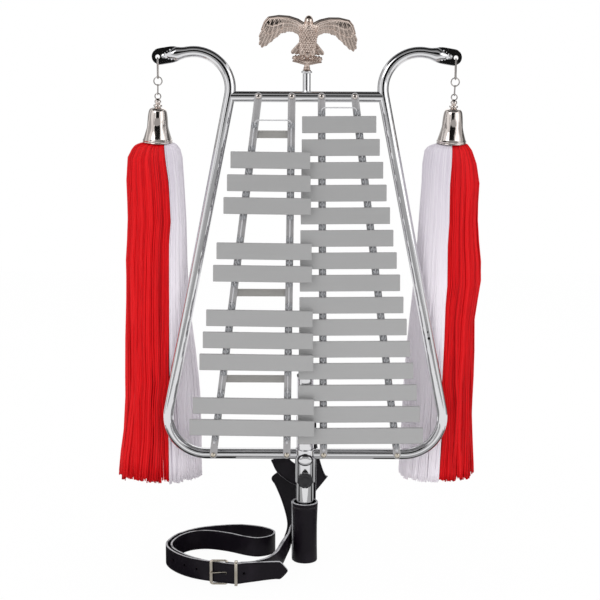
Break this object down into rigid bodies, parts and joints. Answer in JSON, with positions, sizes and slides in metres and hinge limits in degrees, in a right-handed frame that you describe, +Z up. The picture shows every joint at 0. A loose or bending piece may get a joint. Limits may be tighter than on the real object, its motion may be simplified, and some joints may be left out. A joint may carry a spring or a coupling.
{
  "type": "bell lyra",
  "caption": "Marching bell lyra: tuned flat bars on a bent chrome tube frame with an eagle finial, hung tassels, a clamped staff, and a leather carrying cup with its buckled straps.",
  "frame": {"origin": "middle of the carrying cup's flat underside, on the staff's axis", "axes": "+Z up along the staff, -Y towards the audience and the player's mallet side where the bars are, +X towards the long natural bars, to the right in the picture"},
  "size_m": [0.5835, 0.2359, 0.8541],
  "materials": {
    "chrome": "bright chrome plating on bent steel tube",
    "nickel": "warm nickel plate, slightly dulled",
    "satin_aluminium": "fine satin grey aluminium bars",
    "rail_aluminium": "plain drawn aluminium strip",
    "nylon_cord": "twisted pale grey nylon cord",
    "black_plastic": "moulded black plastic",
    "black_leather": "dyed black harness leather with paler cut edges",
    "red_yarn": "bright red long tassel yarn",
    "white_yarn": "white yarn with a cool lavender tint"
  },
  "bodies": {
    "harness": {"leather_cup": "black_leather", "cup_base": "black_leather", "long_strap": "black_leather", "buckle_strap": "black_leather", "buckle_frame": "nickel", "strap_keeper": "nickel"},
    "staff": {"staff_tube": "chrome", "staff_end_plug": "black_plastic"},
    "frame": {"frame_tube_left": "chrome", "frame_tube_right": "chrome", "crossbar": "chrome", "staff_sleeve": "chrome", "finial_post": "chrome", "eagle_finial": "nickel", "rail_natural_inner": "rail_aluminium", "rail_natural_outer": "rail_aluminium", "rail_accidental_inner": "rail_aluminium", "rail_accidental_outer": "rail_aluminium", "rail_strut_upper": "rail_aluminium", "rail_strut_middle": "rail_aluminium", "rail_strut_lower": "rail_aluminium", "bar_cord_natural": "nylon_cord", "bar_cord_accidental": "nylon_cord", "bar_01_c": "satin_aluminium", "bar_02_c_sharp": "satin_aluminium", "bar_03_d": "satin_aluminium", "bar_04_d_sharp": "satin_aluminium", "bar_05_e": "satin_aluminium", "bar_06_f": "satin_aluminium", "bar_07_f_sharp": "satin_aluminium", "bar_08_g": "satin_aluminium", "bar_09_g_sharp": "satin_aluminium", "bar_10_a": "satin_aluminium", "bar_11_a_sharp": "satin_aluminium", "bar_12_b": "satin_aluminium", "bar_13_c": "satin_aluminium", "bar_14_c_sharp": "satin_aluminium", "bar_15_d": "satin_aluminium", "bar_16_d_sharp": "satin_aluminium", "bar_17_e": "satin_aluminium", "bar_18_f": "satin_aluminium", "bar_19_f_sharp": "satin_aluminium", "bar_20_g": "satin_aluminium", "bar_21_g_sharp": "satin_aluminium", "bar_22_a": "satin_aluminium", "bar_23_a_sharp": "satin_aluminium", "bar_24_b": "satin_aluminium", "bar_25_c": "satin_aluminium"},
    "clamp": {"clamp_knob": "black_plastic"},
    "left_hook": {"left_hook": "nickel"},
    "left_tassel": {"left_tassel_chain": "nickel", "left_bell": "nickel", "left_strands_red": "red_yarn", "left_strands_white": "white_yarn"},
    "right_hook": {"right_hook": "nickel"},
    "right_tassel": {"right_tassel_chain": "nickel", "right_bell": "nickel", "right_strands_red": "red_yarn", "right_strands_white": "white_yarn"},
    "prong": {"buckle_prong": "nickel"}
  },
  "joints": [
    {"name": "lyra_lift", "type": "slide", "parent": "harness", "child": "staff", "axis": [0, 0, 1], "range_m": [0, 0.1]},
    {"name": "height_slide", "type": "slide", "parent": "staff", "child": "frame", "axis": [0, 0, 1], "range_m": [-0.025, 0.1]},
    {"name": "clamp_knob_turn", "type": "hinge", "parent": "frame", "child": "clamp", "pos_m": [0, -0.0183, 0.1385], "axis": [0, -1, 0], "range_deg": [0, 720]},
    {"name": "left_hook_swing", "type": "hinge", "parent": "frame", "child": "left_hook", "pos_m": [-0.22574, 0, 0.7916], "axis": [0, 1, 0], "range_deg": [0, 45]},
    {"name": "right_hook_swing", "type": "hinge", "parent": "frame", "child": "right_hook", "pos_m": [0.22574, 0, 0.7916], "axis": [0, -1, 0], "range_deg": [0, 45]},
    {"name": "left_tassel_swing", "type": "hinge", "parent": "left_hook", "child": "left_tassel", "pos_m": [-0.22574, 0, 0.7617], "axis": [1, 0, 0], "range_deg": [0, 60]},
    {"name": "right_tassel_swing", "type": "hinge", "parent": "right_hook", "child": "right_tassel", "pos_m": [0.22574, 0, 0.7617], "axis": [1, 0, 0], "range_deg": [0, 60]},
    {"name": "buckle_prong_tilt", "type": "hinge", "parent": "harness", "child": "prong", "pos_m": [-0.118, -0.10925, 0.02], "axis": [0, 0, 1], "range_deg": [0, 25]}
  ]
}
